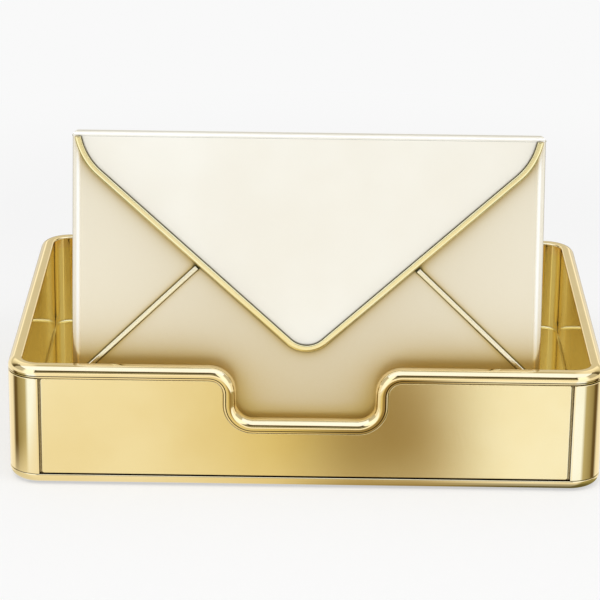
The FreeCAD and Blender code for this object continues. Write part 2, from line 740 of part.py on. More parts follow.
def build_top_flap():
    """Flap of one sheet: over the top edge, round the fold and down to the point."""
    body = add_body("top_flap", envelope=True)
    half = [("flap_half_width", up("0")), ("flap_half_width", up("flap_band")),
            ("flap_upper_x", up("flap_band")), ("flap_shoulder_x", up("flap_shoulder_drop"))]
    outline = half + [("0", up("flap_tip_drop"))] + [(f"-{x}", z) for x, z in reversed(half)]
    pad(body, polygon(body, "flap_outline", "XZ_Plane", outline, "flap_back"), "ply")
    rear, front = "-fold_rear", "-(flap_back + ply)"
    cover = [("-flap_half_width", front), ("flap_half_width", front),
             ("flap_half_width", rear), ("-flap_half_width", rear)]
    pad(body, polygon(body, "flap_cover", "XY_Plane", cover, up("ply")), "ply")
    shoulder = value(up("flap_shoulder_drop"))
    places = [(value(f"{sign}flap_shoulder_x"), shoulder) for sign in ("-", "")]
    fillet(body, "flap_shoulder_round", straight_along(1, *places))
    fillet(body, "flap_tip_round", straight_along(1, (0, value(up("flap_tip_drop")))))
    fillet(body, "fold_round", straight_along(0, (value(front), value(up("0")))))
    fillet(body, "fold_round - ply", straight_along(0, (-value("flap_back"), value(up("ply")))))


def build_flap_trim():
    """Wire round the edge of the flap, with tangent bends at the shoulders and the point."""
    body = add_body("flap_trim", envelope=True)
    points = [
        ("trim_start_x", up("trim_start_drop")), ("trim_shoulder_x", up("trim_shoulder_drop")),
        ("0", up("trim_tip_drop")),
        ("-trim_shoulder_x", up("trim_shoulder_drop")), ("-trim_start_x", up("trim_start_drop"))]
    radii = ("trim_shoulder_round", "trim_tip_round", "trim_shoulder_round")
    spine = rounded_path(body, "trim_path", "XZ_Plane", points, radii, "trim_centre")
    DOC.recompute()
    section = body.newObject("Sketcher::SketchObject", "trim_section")
    section.AttachmentSupport = [(spine, "Edge1")]
    section.MapMode = "NormalToEdge"
    section.MapReversed = True
    section.addGeometry(Part.Circle(Vector(), Vector(0, 0, 1), value("trim_radius")), False)
    section.addConstraint(Sketcher.Constraint("Coincident", 0, 3, -1, 1))
    rule = section.addConstraint(Sketcher.Constraint("Radius", 0, value("trim_radius")))
    section.setExpression(f"Constraints[{rule}]", bound("trim_radius"))
    DOC.recompute()
    pipe = body.newObject("PartDesign::AdditivePipe", "trim_pipe")
    pipe.Profile = section
    pipe.Spine = (spine, [f"Edge{number}" for number in range(1, len(spine.Shape.Edges) + 1)])
    DOC.recompute()


def build_hinge():
    """Hinge behind the flap's fold: two leaves with interleaved knuckles on one pin."""
    level = up("hinge_drop")
    pitch = f"leaf_half_length * 2 / {KNUCKLE_COUNT}"
    along_x = Vector(1, 0, 0)
    back_shapes = [box("back_leaf_plate", ("-leaf_half_length", "0", up("back_leaf_bottom_drop")),
                       ("2*leaf_half_length", "leaf", "back_leaf_bottom_drop - back_plate_drop"))]
    flap_shapes = [box("flap_leaf_plate", ("-leaf_half_length", "-flap_leaf_front", up("ply + leaf")),
                       ("2*leaf_half_length", "flap_leaf_front - flap_leaf_rear", "leaf"))]
    for index in range(KNUCKLE_COUNT):
        low = f"-leaf_half_length + {index} * {pitch} + knuckle_gap/2"
        length = f"{pitch} - knuckle_gap"
        barrel = cylinder(f"knuckle_{index}", "knuckle_radius", length, (low, "hinge_depth", level), along_x)
        if index % 2:
            tab = box(f"tab_{index}", (low, "-flap_leaf_front", up("ply + leaf")),
                      (length, "flap_leaf_front + hinge_depth", "leaf"))
            flap_shapes += [barrel, tab]
        else:
            tab = box(f"tab_{index}", (low, "0", up("back_leaf_bottom_drop")),
                      (length, "leaf", "back_leaf_bottom_drop - hinge_drop"))
            back_shapes += [barrel, tab]
    for label, shapes in (("hinge_leaf_back", back_shapes), ("hinge_leaf_flap", flap_shapes)):
        bore = cylinder(f"{label}_bore", "pin_radius + pin_clearance", "2*leaf_half_length",
                        ("-leaf_half_length", "hinge_depth", level), along_x)
        keep(cut(label, fuse(f"{label}_blank", shapes), bore), label, envelope=True)
    pin = DOC.addObject("Part::Cylinder", "hinge_pin")
    bind(pin, Radius="pin_radius", Height="2*leaf_half_length")
    start = Vector(-value("leaf_half_length"), value("hinge_depth"), value(level))
    keep(pin, "hinge_pin")
    pin.Placement = leaning_placement().multiply(Placement(start, Rotation(Vector(0, 0, 1), along_x)))


def check_and_export():
    """Refuse failed or empty objects, then write one STEP file for each piece."""
    DOC.recompute()
    for item in DOC.Objects:
        if {"Invalid", "Error"} & set(item.State):
            raise RuntimeError(f"{item.Label} failed: {item.State}")
    os.makedirs("parts", exist_ok=True)
    for item in PARTS:
        shape = item.Shape
        if shape.isNull() or not shape.isValid() or not shape.Solids:
            raise RuntimeError(f"{item.Label} has no valid solid")
        shape.exportStep(f"parts/{item.Label}.step")
        print(f"{item.Label}: {len(shape.Solids)} solid(s), {shape.Volume / 1000:.2f} cm3")


def main():
    """Build every piece of the tray and the envelope."""
    fill_sheet()
    build_plinth_rail()
    build_base_plate()
    build_inner_pan()
    build_front_panel()
    build_plain_panels()
    for label, sign_x, sign_y, turn in (
            ("rear_right_post", "", "", 0), ("rear_left_post", "-", "", 90),
            ("front_left_post", "-", "-", 180), ("front_right_post", "", "-", 270)):
        build_corner_post(label, sign_x, sign_y, turn)
    build_rim_cap()
    build_feet()
    build_fasteners()
    build_guides()
    build_back()
    build_edge_bars()
    build_side_flaps()
    build_bottom_flap()
    build_seam_trims()
    build_top_flap()
    build_flap_trim()
    build_hinge()
    check_and_export()


main()
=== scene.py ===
"""Brass desk tray with a notched front wall, and the pearl-lacquered envelope that leans in it.

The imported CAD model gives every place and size. The visible mouldings, sheets and wires are
modelled again here with their real rounds and edges, the hidden hardware keeps its CAD mesh, and
every piece gets the finish of the real material. Sizes in the tray's, the envelope's and the
finishes' classes are millimetres, and the studio's are metres.
"""
import logging
import math
from dataclasses import dataclass, replace
from enum import Enum
from functools import cache
from typing import Any, Callable, Optional, Sequence

import bpy
from mathutils import Matrix, Vector


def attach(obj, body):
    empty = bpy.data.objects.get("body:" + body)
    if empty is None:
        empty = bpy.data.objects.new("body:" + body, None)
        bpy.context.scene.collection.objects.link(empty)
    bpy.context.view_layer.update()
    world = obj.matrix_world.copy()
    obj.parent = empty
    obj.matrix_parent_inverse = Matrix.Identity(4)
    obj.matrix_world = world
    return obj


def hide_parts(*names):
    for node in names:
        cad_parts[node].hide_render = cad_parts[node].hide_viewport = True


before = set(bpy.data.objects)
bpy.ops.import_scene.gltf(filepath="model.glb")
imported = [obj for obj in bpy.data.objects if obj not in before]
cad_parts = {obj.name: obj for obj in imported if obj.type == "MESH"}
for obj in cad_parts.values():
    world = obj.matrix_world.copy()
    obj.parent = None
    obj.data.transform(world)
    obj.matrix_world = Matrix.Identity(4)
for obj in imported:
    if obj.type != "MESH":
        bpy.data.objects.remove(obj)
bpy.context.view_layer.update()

MM = 0.001
# Vertices closer than this are one, in metres.
MERGE = 2e-6
# Edges sharper than this stay sharp.
SMOOTH_ANGLE = math.radians(30)
LOG = logging.getLogger("desk_tray")

Piece = bpy.types.Object
Material = bpy.types.Material
Tree = bpy.types.NodeTree
Socket = bpy.types.NodeSocket
Pair = tuple[float, float]
Point = tuple[float, float, float]


class Side(Enum):
    """A side of the tray or the envelope, as the sign of its X."""

    LEFT = -1
    RIGHT = 1


class End(Enum):
    """The front or the rear of the tray, as the sign of its Y."""

    FRONT = -1
    REAR = 1


# Drawing and shaping in edit mode


@dataclass(frozen=True)
class Corner:
    """One corner of an outline or a route, in millimetres, and the radius it is bent to."""

    x: float
    y: float
    z: float
    radius: float = 0.0

    @property
    def place(self) -> Vector:
        """The corner's place in metres."""
        return Vector((self.x, self.y, self.z)) * MM


def mirrored(half: Sequence[Corner]) -> list[Corner]:
    """Give the other half of an outline or a route, in the order that carries on."""
    return [replace(corner, x=-corner.x) for corner in reversed(half)]


def select(*pieces: Piece) -> None:
    """Select these pieces only, with the first one active."""
    bpy.ops.object.select_all(action="DESELECT")
    for piece in pieces:
        piece.select_set(True)
    if pieces:
        bpy.context.view_layer.objects.active = pieces[0]


def run(step: Vector) -> None:
    """Extrude the selection straight on, unless the step is nothing."""
    if step.length > MERGE:
        bpy.ops.mesh.extrude_region_move(TRANSFORM_OT_translate={"value": step})


def follow(corners: Sequence[Corner], closed: bool, step_angle: float) -> None:
    """Extrude the selection along straight runs and round bends.

    Args:
        corners: The route's corners. A closed route starts on a straight stretch.
        closed: Whether the route returns to its start.
        step_angle: Largest step in a bend, in degrees.
    """
    stops = list(corners) + ([corners[0]] if closed else [])
    here = stops[0].place
    for before, corner, after in zip(stops, stops[1:], stops[2:] + [None]):
        if after is None or corner.radius == 0:
            run(corner.place - here)
            here = corner.place
            continue
        arriving = (corner.place - before.place).normalized()
        leaving = (after.place - corner.place).normalized()
        angle = arriving.angle(leaving)
        radius = corner.radius * MM
        reach = radius * math.tan(angle / 2)
        run(corner.place - arriving * reach - here)
        here = corner.place + leaving * reach
        inwards = (leaving - arriving).normalized()
        bpy.ops.mesh.spin(
            steps=max(2, math.ceil(math.degrees(angle) / step_angle)), angle=-angle,
            center=corner.place + inwards * (radius / math.cos(angle / 2)),
            axis=arriving.cross(leaving).normalized())


def merge_doubles() -> None:
    """Select everything in edit mode and merge what meets."""
    bpy.ops.mesh.select_all(action="SELECT")
    bpy.ops.mesh.remove_doubles(threshold=MERGE)


def draw(name: str, corners: Sequence[Corner], step_angle: float = 5.0,
         closed: bool = True) -> Piece:
    """Draw an outline as a new piece, and leave it selected in edit mode.

    Args:
        name: Name of the new piece.
        corners: The outline's corners, from a straight stretch or a sharp corner on.
        step_angle: Largest step in a rounded corner, in degrees.
        closed: Whether the outline closes.

    Returns:
        The piece that holds the outline, with its origin at the world's.
    """
    select()
    bpy.ops.mesh.primitive_plane_add(size=MM, location=corners[0].place)
    bpy.ops.object.transform_apply()
    piece = bpy.context.object
    piece.name = piece.data.name = name
    bpy.ops.object.mode_set(mode="EDIT")
    bpy.ops.mesh.select_mode(type="VERT")
    bpy.ops.mesh.select_all(action="SELECT")
    bpy.ops.mesh.merge(type="CENTER")
    follow(corners, closed, step_angle)
    merge_doubles()
    return piece


def leave_drawing(fill_ends: bool = False) -> None:
    """Merge doubles, fill the shell's open ends if asked, and leave edit mode.

    Args:
        fill_ends: Whether open ends get a face.
    """
    merge_doubles()
    if fill_ends:
        bpy.ops.mesh.select_all(action="DESELECT")
        bpy.ops.mesh.select_mode(type="EDGE")
        bpy.ops.mesh.select_non_manifold()
        bpy.ops.mesh.fill_holes(sides=0)
        bpy.ops.mesh.select_all(action="SELECT")
    bpy.ops.mesh.normals_make_consistent(inside=False)
    bpy.ops.object.mode_set(mode="OBJECT")


def sweep(name: str, section: Sequence[Corner], route: Sequence[Corner], closed: bool = False,
          section_step: float = 6.0, route_step: float = 4.5) -> Piece:
    """Draw a section and carry it along a route.

    Args:
        name: Name of the new piece.
        section: Closed section, drawn where the route starts.
        route: The route's corners.
        closed: Whether the route closes.
        section_step: Largest step in the section's rounds, in degrees.
        route_step: Largest step in the route's bends, in degrees.

    Returns:
        The finished solid, in object mode.
    """
    piece = draw(name, section, section_step)
    follow(route, closed, route_step)
    leave_drawing(fill_ends=not closed)
    return piece


def cut_sheet(name: str, outline: Sequence[Corner], thickness: Point) -> Piece:
    """Cut a flat sheet to an outline.

    Args:
        name: Name of the new piece.
        outline: The outline of one face.
        thickness: Step from that face to the other, in millimetres.

    Returns:
        The sheet, in object mode.
    """
    piece = draw(name, outline)
    bpy.ops.mesh.edge_face_add()
    run(Vector(thickness) * MM)
    leave_drawing()
    return piece


def apply(piece: Piece, kind: str, **settings: Any) -> None:
    """Add a modifier with its settings and apply it.

    Args:
        piece: The piece that gets it.
        kind: Blender's name of the modifier.
        settings: The modifier's properties.
    """
    select(piece)
    modifier = piece.modifiers.new(kind.lower(), kind)
    for key, setting in settings.items():
        setattr(modifier, key, setting)
    bpy.ops.object.modifier_apply(modifier=modifier.name)


def ease_edges(piece: Piece, width: float, segments: int = 2, angle: float = 40.0) -> None:
    """Round edges sharper than an angle in degrees, to a width in millimetres."""
    apply(piece, "BEVEL", width=width * MM, segments=segments, limit_method="ANGLE",
          angle_limit=math.radians(angle))


def cut_away(piece: Piece, cutter: Piece) -> None:
    """Cut one piece with another, and remove the cutter."""
    apply(piece, "BOOLEAN", object=cutter, operation="DIFFERENCE", solver="EXACT")
    bpy.data.objects.remove(cutter)


def join(*pieces: Piece) -> Piece:
    """Join pieces into the first one."""
    select(*pieces)
    bpy.ops.object.join()
    return pieces[0]


# Finishes

EASED = {"interpolation_type": "SMOOTHSTEP"}
COLOURS = {"data_type": "RGBA"}


def linear(code: str) -> tuple[float, float, float, float]:
    """Turn an sRGB hex colour into linear RGBA."""
    parts = [int(code[index:index + 2], 16) / 255 for index in (1, 3, 5)]
    return (*(c / 12.92 if c <= 0.04045 else ((c + 0.055) / 1.055) ** 2.4 for c in parts), 1.0)


def add_node(tree: Tree, kind: str, links: Optional[dict] = None,
             values: Optional[dict] = None, **settings: Any) -> bpy.types.Node:
    """Add a node with its settings, its fixed values and the links into it.

    Args:
        tree: The node tree.
        kind: Blender's name of the node type, after "ShaderNode".
        links: Input socket to the output that feeds it, or to the node whose first one does.
        values: Input socket to its fixed value.
        settings: The node's own properties.

    Returns:
        The new node.
    """
    node = tree.nodes.new(f"ShaderNode{kind}")
    for key, setting in settings.items():
        setattr(node, key, setting)
    for socket, fixed in (values or {}).items():
        node.inputs[socket].default_value = fixed
    for socket, source in (links or {}).items():
        first = source.outputs[0] if isinstance(source, bpy.types.Node) else source
        tree.links.new(first, node.inputs[socket])
    return node


def start_material(name: str) -> tuple[Material, Tree, Socket]:
    """Give a new material, its node tree and the object's coordinates in it."""
    material = bpy.data.materials.new(name)
    material.use_nodes = True
    tree = material.node_tree
    tree.nodes.clear()
    return material, tree, add_node(tree, "TexCoord").outputs["Object"]


def split_distance(tree: Tree, place: Socket) -> bpy.types.Node:
    """Split the distance of a place from the object's middle into X, Y and Z."""
    size = add_node(tree, "VectorMath", {0: place}, operation="ABSOLUTE")
    return add_node(tree, "SeparateXYZ", {0: size})


@dataclass(frozen=True)
class Shade:
    """A painted shade or painted glow that a finish takes where other surfaces stand close to it,
    masked by ambient occlusion.
    """

    colour: str
    reach: float
    start: float = 0.4
    stop: float = 0.9
    samples: int = 8


@dataclass(frozen=True)
class Finish:
    """A finish with a name, two close colours, a spread of roughness and a grain, and the painted
    light and shade that it is given.
    """

    name: str
    colour: str
    deep_colour: str
    metallic: float
    smooth: float
    rough: float
    grain_size: float
    grain_depth: float
    patch_size: float = 35.0
    coat: float = 0.0
    coat_roughness: float = 0.1
    shades: tuple[Shade, ...] = ()
    painted_edge_colour: str = ""
    painted_edge_start: float = 0.0
    painted_edge_stop: float = 0.0

    @cache
    def material(self) -> Material:
        """Build the finish's material, once.

        Returns:
            A node material with colour variation, uneven roughness, a fine grain and its painted
            light and shade.
        """
        material, tree, place = start_material(self.name)
        patches, fine = (add_node(
            tree, "TexNoise", {"Vector": place},
            {"Scale": 1 / (size * MM), "Detail": detail, "Roughness": 0.55})
            for size, detail in ((self.patch_size, 3.0), (self.grain_size, 2.0)))
        spread = add_node(tree, "MapRange", {0: patches}, {1: 0.3, 2: 0.7}, **EASED)
        colour = add_node(tree, "Mix", {0: spread},
                          {6: linear(self.deep_colour), 7: linear(self.colour)}, **COLOURS)
        # Painted light across the width, by distance from the middle in X: paler towards the sides,
        # or a painted dark line at the outer edge.
        if self.painted_edge_colour:
            across = split_distance(tree, place).outputs["X"]
            edge = add_node(tree, "MapRange", {0: across},
                            {1: self.painted_edge_start * MM, 2: self.painted_edge_stop * MM}, **EASED)
            colour = add_node(tree, "Mix", {0: edge, 6: colour.outputs[2]},
                              {7: linear(self.painted_edge_colour)}, **COLOURS)
        # Painted shade and glow: each shade tints the colour where the ambient occlusion mask finds
        # other surfaces close.
        for shade in self.shades:
            near = add_node(tree, "AmbientOcclusion",
                            values={"Distance": shade.reach * MM}, samples=shade.samples)
            clear = add_node(tree, "MapRange", {0: near.outputs["AO"]},
                             {1: shade.start, 2: shade.stop}, **EASED)
            colour = add_node(tree, "Mix", {0: clear, 7: colour.outputs[2]},
                              {6: linear(shade.colour)}, **COLOURS)
        uneven = add_node(tree, "MapRange", {0: spread}, {3: self.smooth, 4: self.rough})
        bump = add_node(tree, "Bump", {"Height": fine}, {"Distance": self.grain_depth * MM})
        shader = add_node(
            tree, "BsdfPrincipled",
            {"Base Color": colour.outputs[2], "Roughness": uneven, "Normal": bump},
            {"Metallic": self.metallic, "Coat Weight": self.coat,
             "Coat Roughness": self.coat_roughness})
        add_node(tree, "OutputMaterial", {"Surface": shader})
        return material


# Painted shade in seams and grooves: a dark tint where other surfaces stand within 2 mm.
PAINTED_SEAM_SHADE = Shade("#4E3A12", 2.0)
# Painted olive shade on the flap's wire and the hinge, on their sides that face the body.
PAINTED_WIRE_SHADE = Shade("#4A4010", 3.6, 0.8, 0.99)
# Painted brown shade on the seam wires, where they sit close on the body.
PAINTED_SEAM_WIRE_SHADE = Shade("#8E835C", 0.8, 0.35, 0.9)
# Painted shade on the flap's lacquer along its wire: a thin dark line.
PAINTED_WIRE_LINE = Shade("#5E5528", 1.3, 0.5, 0.9)
# The same painted shade on the body, wider, along the seam wires and under the flap's edge.
PAINTED_UNDER_SHADE = Shade("#554A10", 4.0, 0.5, 0.74, 24)
# Painted warm glow and shade on the pearl: a gold tint, strongest low down near the tray, for the
# light that the brass throws back and the shade there.
PAINTED_BRASS_GLOW = Shade("#CDAE5E", 100.0, 0.42, 1.12, 24)
# Buffed brass, gold-plated and lacquered: a mirror that the lacquer's orange peel softens.
POLISHED_BRASS = Finish("polished_gold_brass", "#F5DFA8", "#F2DAA0", 1.0, 0.05, 0.08, 2.5, 0.0006,
                        shades=(PAINTED_SEAM_SHADE,))
# Bead-blasted and plated brass sheet: an even satin with a fine sparkle.
SATIN_BRASS = Finish("satin_gold_brass", "#F4DFA6", "#F1DA9E", 1.0, 0.215, 0.235, 0.6, 0.03,
                     shades=(PAINTED_SEAM_SHADE,))
# The pan's sheet, plated before folding and only wiped, with its colour painted greener than the
# buffed outside to offset the orange light that its walls throw on each other.
PAN_TONED_BRASS = Finish("wiped_pan_toned_brass", "#F8E6A4", "#F5E19C", 1.0, 0.09, 0.11, 2.5, 0.0006,
                    shades=(PAINTED_SEAM_SHADE,))
# Sprayed pearl lacquer: champagne with a metallic sheen and a fine mica grain, painted paler
# towards the sides as a painted highlight, with the painted warm glow and the painted shade under
# the wires.
PEARL_LACQUER = Finish(
    "sprayed_pearl_lacquer", "#EADFC5", "#E7DBBF", 0.7, 0.33, 0.37, 0.6, 0.002, 90.0,
    coat=0.25, coat_roughness=0.08, shades=(PAINTED_BRASS_GLOW, PAINTED_UNDER_SHADE),
    painted_edge_colour="#F9F0D8", painted_edge_start=10.0, painted_edge_stop=112.0)
# The same lacquer burnished on the round edges, painted whiter as a painted highlight, with a fine
# painted dark line along its outer edge and the painted warm glow.
HIGHLIT_EDGE_LACQUER = Finish(
    "painted_highlight_edge_lacquer", "#F8F4E6", "#F5F0E0", 0.6, 0.1, 0.14, 0.6, 0.0004, 90.0,
    coat=0.35, coat_roughness=0.05, shades=(PAINTED_BRASS_GLOW,),
    painted_edge_colour="#7E7448", painted_edge_start=113.9, painted_edge_stop=114.3)
# The same lacquer on the flap and the back, painted whiter for the stronger light on the flap, with
# the same sheen, a fine painted dark line along its outer edge and a painted shade line along its
# wire.
LIT_FLAP_LACQUER = Finish(
    "painted_lit_flap_lacquer", "#F9F6EA", "#F4EFE0", 0.15, 0.3, 0.34, 0.6, 0.002, 90.0,
    coat=0.35, coat_roughness=0.08, shades=(PAINTED_WIRE_LINE,),
    painted_edge_colour="#7E7448", painted_edge_start=113.6, painted_edge_stop=114.1)
# Pale gold plate on drawn wire and on the hinge: softer and lighter than the polished brass.
PALE_BRASS = Finish("pale_gold_brass", "#F2E3AC", "#EEDC9E", 1.0, 0.12, 0.18, 1.2, 0.001,
                    shades=(PAINTED_WIRE_SHADE,))
# The thinner seam wire, tinned under its plate: almost white.
TINNED_WIRE = Finish("tinned_seam_wire", "#F6ECCB", "#F2E7C1", 1.0, 0.18, 0.24, 1.2, 0.001,
                     shades=(PAINTED_SEAM_WIRE_SHADE,))
# Zinc-plated steel of the bought screws and nuts: cool grey with cloudy plating.
ZINC_STEEL = Finish("zinc_plated_steel", "#C9CCCE", "#B4B8BC", 1.0, 0.28, 0.42, 0.8, 0.004, 6.0)
# Moulded black rubber of the feet: dull, with a slight bloom.
FOOT_RUBBER = Finish("moulded_rubber", "#26251F", "#1B1A17", 0.0, 0.65, 0.85, 0.5, 0.02, 4.0)
# Fibreboard behind the letter pocket: pressed, matt and flecked.
FIBREBOARD = Finish("pressed_fibreboard", "#B08C62", "#94714A", 0.0, 0.75, 0.95, 0.9, 0.03, 3.0)


def dress(piece: Piece, material: Material) -> None:
    """Give a piece one material on every face."""
    piece.data.materials.clear()
    piece.data.materials.append(material)


def finish_piece(piece: Piece, finish: Finish, node: str, body: str = "tray",
                 stance: Optional[Matrix] = None) -> None:
    """Smooth and dress a piece, and let it stand for a CAD node.

    Args:
        piece: The finished shape.
        finish: Its finish.
        node: The CAD node it replaces.
        body: The CAD body it rides on.
        stance: Turn and move of its mesh, where it isn't drawn in its place.
    """
    select(piece)
    bpy.ops.object.shade_smooth_by_angle(angle=SMOOTH_ANGLE)
    apply(piece, "WEIGHTED_NORMAL", keep_sharp=True, weight=80)
    if stance is not None:
        piece.matrix_world = stance
        bpy.ops.object.transform_apply()
    dress(piece, finish.material())
    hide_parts(node)
    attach(piece, body)
    LOG.info("%s stands for %s on %s: %d faces", piece.name, node, body, len(piece.data.polygons))


# Tray


@dataclass(frozen=True)
class TrayPlan:
    """Sizes that the tray's pieces share."""

    half_width: float = 145.0
    half_depth: float = 102.0
    corner_radius: float = 15.7
    wall: float = 7.0
    sheet: float = 1.2
    rim_top: float = 62.0
    band_top: float = 56.0
    lip_top: float = 6.0
    rail_top: float = 11.8
    notch_half_width: float = 33.8
    notch_floor: float = 35.1
    notch_corner: float = 14.5
    notch_shoulder: float = 7.0

    @property
    def rim_height(self) -> float:
        """Height of the moulding on the walls."""
        return self.rim_top - self.band_top

    def ring(self, inset: float, level: float) -> list[Corner]:
        """Give the tray's rounded outline, inset and at a level, starting behind the middle.

        Args:
            inset: Distance inside the tray's outer face.
            level: Height of the ring.

        Returns:
            The ring's corners.
        """
        x, y = self.half_width - inset, self.half_depth - inset
        radius = self.corner_radius - inset
        left = [Corner(-x, y, level, radius), Corner(-x, -y, level, radius)]
        return [Corner(0, y, level), *left, *mirrored(left)]

    def section(self, *points: Point) -> list[Corner]:
        """Place a wall section behind the middle, from inset, height and radius of its corners."""
        return [Corner(0, self.half_depth - inset, *rest) for inset, *rest in points]

    def notch_side(self) -> list[Point]:
        """Give place along, height and radius of the sheets' notch on its right, from below."""
        along = self.notch_half_width + self.rim_height
        return [(along, self.notch_floor - self.rim_height, self.notch_corner),
                (along, self.band_top, self.notch_shoulder)]


@dataclass
class PlinthRail:
    """Rail round the foot: a full-round lip outside and a step that carries the pan."""

    plan: TrayPlan
    low: float = 1.0
    step_inset: float = 6.0
    width: float = 15.5
    outer_round: float = 4.35
    top_round: float = 0.6
    seat_radius: float = 2.5
    seat_depth: float = 3.4
    screw_circle: float = 11.7

    def build(self) -> None:
        """Sweep the rail, sink the seats of its tie screws and dress it."""
        plan = self.plan
        section = plan.section(
            (self.width, self.low, 0), (0, self.low, self.outer_round),
            (0, plan.lip_top, self.top_round), (self.step_inset, plan.lip_top, 0),
            (self.step_inset, plan.rail_top, 0), (self.width, plan.rail_top, 0))
        rail = sweep("rail", section, plan.ring(0, self.low), closed=True, section_step=9.0)
        self.sink_seats(rail)
        finish_piece(rail, POLISHED_BRASS, "plinth_rail")

    def sink_seats(self, rail: Piece) -> None:
        """Cut a round seat for each tie screw into its underside."""
        plan = self.plan
        offset = self.screw_circle * math.cos(math.radians(45)) - plan.corner_radius
        for side in Side:
            for end in End:
                select()
                bpy.ops.mesh.primitive_cylinder_add(
                    vertices=32, radius=self.seat_radius * MM, depth=2 * self.seat_depth * MM,
                    location=Corner(side.value * (plan.half_width + offset),
                                    end.value * (plan.half_depth + offset), self.low).place)
                bpy.ops.object.transform_apply()
                cut_away(rail, bpy.context.object)


@dataclass
class RimMoulding:
    """Moulding that caps the double wall and dips through the notch."""

    plan: TrayPlan
    outer_round: float = 4.0
    inner_round: float = 1.2
    lower_round: float = 0.8
    quirk_level: float = 1.4
    quirk_width: float = 0.45
    quirk_depth: float = 0.4
    shoulder_round: float = 13.0
    floor_round: float = 8.5

    def build(self) -> None:
        """Sweep the moulding round the tray, with its dip in front, and dress it."""
        plan, width = self.plan, self.quirk_width
        half, quirk = plan.rim_height / 2, plan.band_top + self.quirk_level
        section = plan.section(
            (plan.wall, plan.band_top + half, 0), (plan.wall, plan.band_top, 0),
            (0, plan.band_top, self.lower_round), (0, quirk - width, 0),
            (self.quirk_depth, quirk - width / 2, 0), (0, quirk, 0),
            (0, plan.rim_top, self.outer_round), (plan.wall, plan.rim_top, self.inner_round))
        ring = plan.ring(plan.wall / 2, plan.rim_top - half)
        x, y = plan.notch_half_width + half, -plan.half_depth + plan.wall / 2
        left = [Corner(-x, y, plan.rim_top - half, self.shoulder_round - half),
                Corner(-x, y, plan.notch_floor - half, self.floor_round + half)]
        rim = sweep("rim", section, [*ring[:3], *left, *mirrored(left), *ring[3:]], closed=True)
        finish_piece(rim, POLISHED_BRASS, "rim_cap")


@dataclass
class InnerPan:
    """Pan of one folded and welded sheet, with the notch cut from its front wall."""

    plan: TrayPlan
    floor_inset: float = 12.0
    cove: float = 1.0
    cutter_flare: float = 12.0
    cutter_rise: float = 4.0
    cutter_spare: float = 2.0

    def build(self) -> None:
        """Sweep the walls, close the floor, cut the notch and dress the pan."""
        plan = self.plan
        inner, outer = plan.wall, plan.wall - plan.sheet
        floor, under = plan.rail_top + plan.sheet, plan.rail_top
        section = plan.section(
            (self.floor_inset, floor, 0), (inner, floor, self.cove), (inner, plan.band_top, 0),
            (outer, plan.band_top, 0), (outer, under, self.cove + plan.sheet),
            (self.floor_inset, under, 0))
        pan = draw("pan", section, step_angle=10.0, closed=False)
        follow(plan.ring(inner, floor), closed=True, step_angle=4.5)
        leave_drawing(fill_ends=True)
        cut_away(pan, self.notch_cutter())
        finish_piece(pan, PAN_TONED_BRASS, "inner_pan")

    def notch_cutter(self) -> Piece:
        """Make the thick sheet that cuts the notch."""
        plan = self.plan
        y, top = -plan.half_depth, plan.band_top
        right = [Corner(along, y, *rest) for along, *rest in plan.notch_side()]
        x = right[-1].x + self.cutter_flare
        right += [Corner(x, y, top), Corner(x, y, top + self.cutter_rise)]
        return cut_sheet("notch_cutter", [Corner(0, y, right[0].z), *right, *mirrored(right)],
                         (0, plan.wall + self.cutter_spare, 0))


@dataclass
class OuterSheets:
    """The four flat outer sheets between the corner posts."""

    plan: TrayPlan
    reveal: float = 1.2
    foot_reveal: float = 0.65
    recess: float = 0.4
    corner: float = 1.2
    edge: float = 0.45

    def build(self) -> None:
        """Build the four sheets."""
        plan = self.plan
        x, y, ply = plan.half_width - self.recess, plan.half_depth - self.recess, plan.sheet
        reach_x, reach_y = (half - plan.corner_radius - self.reveal
                            for half in (plan.half_width, plan.half_depth))
        self.build_sheet("front", reach_x, lambda a, z, r: Corner(a, -y, z, r), (0, ply, 0),
                         plan.notch_side()[::-1])
        self.build_sheet("rear", reach_x, lambda a, z, r: Corner(a, y, z, r), (0, -ply, 0))
        self.build_sheet("left", reach_y, lambda a, z, r: Corner(-x, a, z, r), (ply, 0, 0))
        self.build_sheet("right", reach_y, lambda a, z, r: Corner(x, a, z, r), (-ply, 0, 0))

    def build_sheet(self, label: str, reach: float, corner: Callable[..., Corner],
                    inwards: Point, notch: Sequence[Point] = ()) -> None:
        """Cut, ease and dress one sheet.

        Args:
            label: The side of the tray it covers.
            reach: Half its length.
            corner: Gives a corner of its outer face by place along, height and radius.
            inwards: Step from its outer face to its inner one.
            notch: Right half of the notch in it, from above.
        """
        low, high = self.plan.lip_top + self.foot_reveal, self.plan.band_top
        half = [(reach, low, self.corner), (reach, high, self.corner), *notch]
        points = [(0, low, 0), *half, *((-along, *rest) for along, *rest in reversed(half))]
        sheet = cut_sheet(f"{label}_sheet", [corner(*point) for point in points], inwards)
        ease_edges(sheet, self.edge)
        finish_piece(sheet, SATIN_BRASS, f"{label}_panel")


